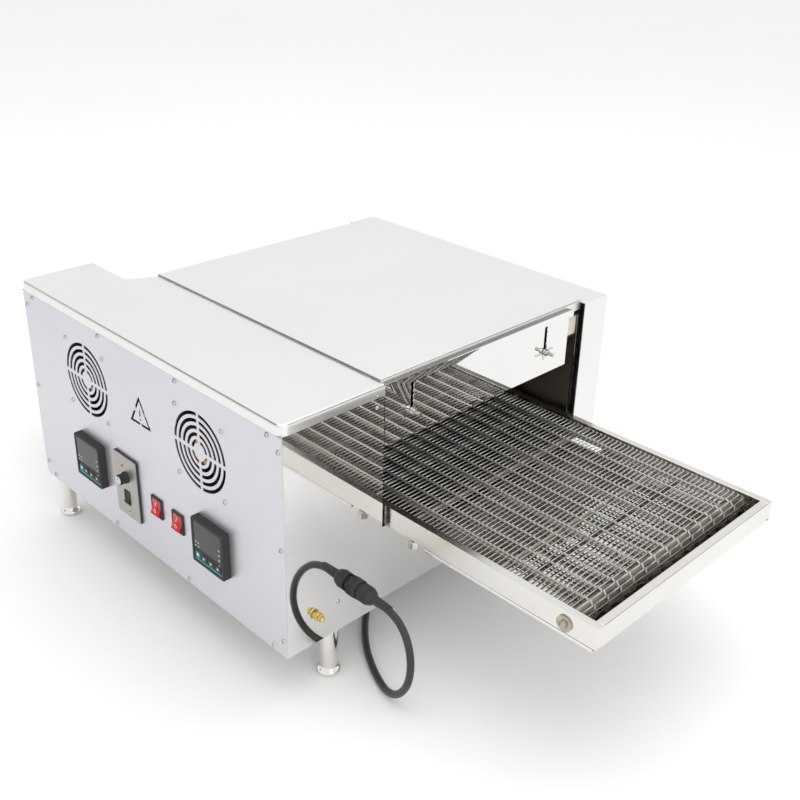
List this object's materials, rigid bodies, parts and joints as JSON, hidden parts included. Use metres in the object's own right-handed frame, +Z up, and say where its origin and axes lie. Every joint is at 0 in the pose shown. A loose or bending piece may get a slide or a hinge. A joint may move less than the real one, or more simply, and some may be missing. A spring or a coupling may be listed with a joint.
{
  "type": "conveyor pizza oven",
  "caption": "Countertop oven with a wire belt through a steel baking tunnel, a front control cabinet, drop curtains at both ends, and round legs.",
  "frame": {"origin": "centre of the footprint, without the power lead, on the surface that the legs stand on", "axes": "+X along the belt to the outlet, -Y out of the control panel, +Z up"},
  "size_m": [1.226, 0.8381, 0.428],
  "materials": {
    "satin_front": "satin brushed stainless sheet",
    "polished_steel": "mirror polished stainless sheet",
    "brushed_steel": "fine satin stainless sheet",
    "dark_steel": "heat tinted steel",
    "wool_board": "mineral wool board",
    "quartz_tube": "frosted quartz",
    "screw_zinc": "bright plated",
    "black_plastic": "black moulded",
    "grey_plate": "grey anodised plate on a black case",
    "key_white": "pale moulded keys",
    "red_plastic": "translucent red",
    "grey_plastic": "grey moulded",
    "belt_wire": "drawn stainless wire",
    "shaft_steel": "ground steel, heat tinted",
    "dark_sprocket": "blackened steel",
    "chain_steel": "oiled steel",
    "bronze_bush": "sintered bronze",
    "motor_paint": "grey paint",
    "polished_leg": "polished stainless",
    "yellow_brass": "turned brass",
    "black_rubber": "black rubber sheath"
  },
  "bodies": {
    "oven": {"control_box": "polished_steel", "control_panel": "satin_front", "control_box_lid": "brushed_steel", "panel_screws": "screw_zinc", "fan_frames": "black_plastic", "temperature_controllers": "black_plastic", "rocker_bezels": "black_plastic", "speed_control": "grey_plate", "control_gear": "grey_plastic", "chamber_shell": "polished_steel", "chamber_liner": "dark_steel", "chamber_insulation": "wool_board", "lower_heaters": "quartz_tube", "upper_heaters": "quartz_tube", "chamber_cover": "brushed_steel", "rear_housing": "brushed_steel", "thermocouples": "screw_zinc", "curtain_studs": "screw_zinc", "near_rail": "brushed_steel", "far_rail": "brushed_steel", "conveyor_end_plates": "brushed_steel", "belt_supports": "belt_wire", "conveyor_belt": "belt_wire", "shaft_bushes": "bronze_bush", "gear_motor": "motor_paint", "drive_chain": "chain_steel", "chain_guard": "brushed_steel", "legs": "polished_leg", "cable_gland": "black_plastic", "earth_stud": "yellow_brass", "power_cord": "black_rubber", "power_cord_coil": "black_rubber", "power_plug": "black_plastic"},
    "left_fan": {"left_fan_rotor": "black_plastic"},
    "right_fan": {"right_fan_rotor": "black_plastic"},
    "left_key_1": {"left_key_1": "key_white"},
    "left_key_2": {"left_key_2": "key_white"},
    "left_key_3": {"left_key_3": "key_white"},
    "right_key_1": {"right_key_1": "key_white"},
    "right_key_2": {"right_key_2": "key_white"},
    "right_key_3": {"right_key_3": "key_white"},
    "left_power_rocker": {"left_power_rocker": "red_plastic"},
    "right_power_rocker": {"right_power_rocker": "red_plastic"},
    "run_rocker": {"run_rocker": "black_plastic"},
    "speed_knob": {"speed_knob": "black_plastic"},
    "outlet_curtain": {"outlet_curtain": "polished_steel"},
    "outlet_wing_nut_1": {"outlet_wing_nut_1": "screw_zinc"},
    "outlet_wing_nut_2": {"outlet_wing_nut_2": "screw_zinc"},
    "inlet_curtain": {"inlet_curtain": "polished_steel"},
    "inlet_wing_nut_1": {"inlet_wing_nut_1": "screw_zinc"},
    "inlet_wing_nut_2": {"inlet_wing_nut_2": "screw_zinc"},
    "drive_shaft": {"drive_shaft": "shaft_steel", "drive_sprockets": "dark_sprocket", "drive_chainwheel": "chain_steel"},
    "idler_shaft": {"idler_shaft": "shaft_steel", "idler_sprockets": "dark_sprocket"},
    "motor_shaft": {"motor_sprocket": "chain_steel"},
    "outlet_crumb_tray": {"outlet_crumb_tray": "brushed_steel"},
    "inlet_crumb_tray": {"inlet_crumb_tray": "brushed_steel"},
    "deck_clamp_knob": {"deck_clamp_knob": "screw_zinc"}
  },
  "joints": [
    {"name": "left_fan_spin", "type": "hinge", "parent": "oven", "child": "left_fan", "pos_m": [-0.2, -0.3024, 0.316], "axis": [0, 1, 0], "continuous": true},
    {"name": "right_fan_spin", "type": "hinge", "parent": "oven", "child": "right_fan", "pos_m": [0.09, -0.3024, 0.316], "axis": [0, 1, 0], "continuous": true},
    {"name": "left_key_1_press", "type": "slide", "parent": "oven", "child": "left_key_1", "axis": [0, 1, 0], "range_m": [0, 0.0008], "stiffness_N_per_m": 300},
    {"name": "left_key_2_press", "type": "slide", "parent": "oven", "child": "left_key_2", "axis": [0, 1, 0], "range_m": [0, 0.0008], "stiffness_N_per_m": 300},
    {"name": "left_key_3_press", "type": "slide", "parent": "oven", "child": "left_key_3", "axis": [0, 1, 0], "range_m": [0, 0.0008], "stiffness_N_per_m": 300},
    {"name": "right_key_1_press", "type": "slide", "parent": "oven", "child": "right_key_1", "axis": [0, 1, 0], "range_m": [0, 0.0008], "stiffness_N_per_m": 300},
    {"name": "right_key_2_press", "type": "slide", "parent": "oven", "child": "right_key_2", "axis": [0, 1, 0], "range_m": [0, 0.0008], "stiffness_N_per_m": 300},
    {"name": "right_key_3_press", "type": "slide", "parent": "oven", "child": "right_key_3", "axis": [0, 1, 0], "range_m": [0, 0.0008], "stiffness_N_per_m": 300},
    {"name": "left_power_rocker_tilt", "type": "hinge", "parent": "oven", "child": "left_power_rocker", "pos_m": [-0.028, -0.3139, 0.175], "axis": [1, 0, 0], "range_deg": [0, 24]},
    {"name": "right_power_rocker_tilt", "type": "hinge", "parent": "oven", "child": "right_power_rocker", "pos_m": [0.025, -0.3139, 0.175], "axis": [1, 0, 0], "range_deg": [0, 24]},
    {"name": "run_rocker_tilt", "type": "hinge", "parent": "oven", "child": "run_rocker", "pos_m": [-0.105, -0.3159, 0.157], "axis": [1, 0, 0], "range_deg": [0, 24]},
    {"name": "speed_knob_turn", "type": "hinge", "parent": "oven", "child": "speed_knob", "pos_m": [-0.105, -0.3234, 0.192], "axis": [0, -1, 0], "range_deg": [-135, 135]},
    {"name": "outlet_curtain_drop", "type": "slide", "parent": "oven", "child": "outlet_curtain", "axis": [0, 0, -1], "range_m": [0, 0.038]},
    {"name": "outlet_wing_nut_1_turn", "type": "hinge", "parent": "oven", "child": "outlet_wing_nut_1", "pos_m": [0.2627, -0.0894, 0.3665], "axis": [1, 0, 0], "continuous": true},
    {"name": "outlet_wing_nut_2_turn", "type": "hinge", "parent": "oven", "child": "outlet_wing_nut_2", "pos_m": [0.2627, 0.1906, 0.3665], "axis": [1, 0, 0], "continuous": true},
    {"name": "inlet_curtain_drop", "type": "slide", "parent": "oven", "child": "inlet_curtain", "axis": [0, 0, -1], "range_m": [0, 0.038]},
    {"name": "inlet_wing_nut_1_turn", "type": "hinge", "parent": "oven", "child": "inlet_wing_nut_1", "pos_m": [-0.2627, -0.0894, 0.3665], "axis": [1, 0, 0], "continuous": true},
    {"name": "inlet_wing_nut_2_turn", "type": "hinge", "parent": "oven", "child": "inlet_wing_nut_2", "pos_m": [-0.2627, 0.1906, 0.3665], "axis": [1, 0, 0], "continuous": true},
    {"name": "drive_shaft_spin", "type": "hinge", "parent": "oven", "child": "drive_shaft", "pos_m": [-0.56628, 0.0626, 0.22217], "axis": [0, 1, 0], "continuous": true},
    {"name": "idler_shaft_spin", "type": "hinge", "parent": "oven", "child": "idler_shaft", "pos_m": [0.56628, 0.0626, 0.22217], "axis": [0, 1, 0], "continuous": true},
    {"name": "motor_shaft_spin", "type": "hinge", "parent": "oven", "child": "motor_shaft", "pos_m": [-0.33, -0.15, 0.22217], "axis": [0, 1, 0], "continuous": true},
    {"name": "outlet_crumb_tray_slide", "type": "slide", "parent": "oven", "child": "outlet_crumb_tray", "axis": [1, 0, 0], "range_m": [0, 0.25]},
    {"name": "inlet_crumb_tray_slide", "type": "slide", "parent": "oven", "child": "inlet_crumb_tray", "axis": [-1, 0, 0], "range_m": [0, 0.25]},
    {"name": "deck_clamp_knob_turn", "type": "hinge", "parent": "oven", "child": "deck_clamp_knob", "pos_m": [0.315, -0.1348, 0.202], "axis": [0, 0, 1], "continuous": true}
  ],
  "couplings": [
    {"joint": "idler_shaft_spin", "follows": "drive_shaft_spin", "ratio": 1},
    {"joint": "motor_shaft_spin", "follows": "drive_shaft_spin", "ratio": 1}
  ]
}
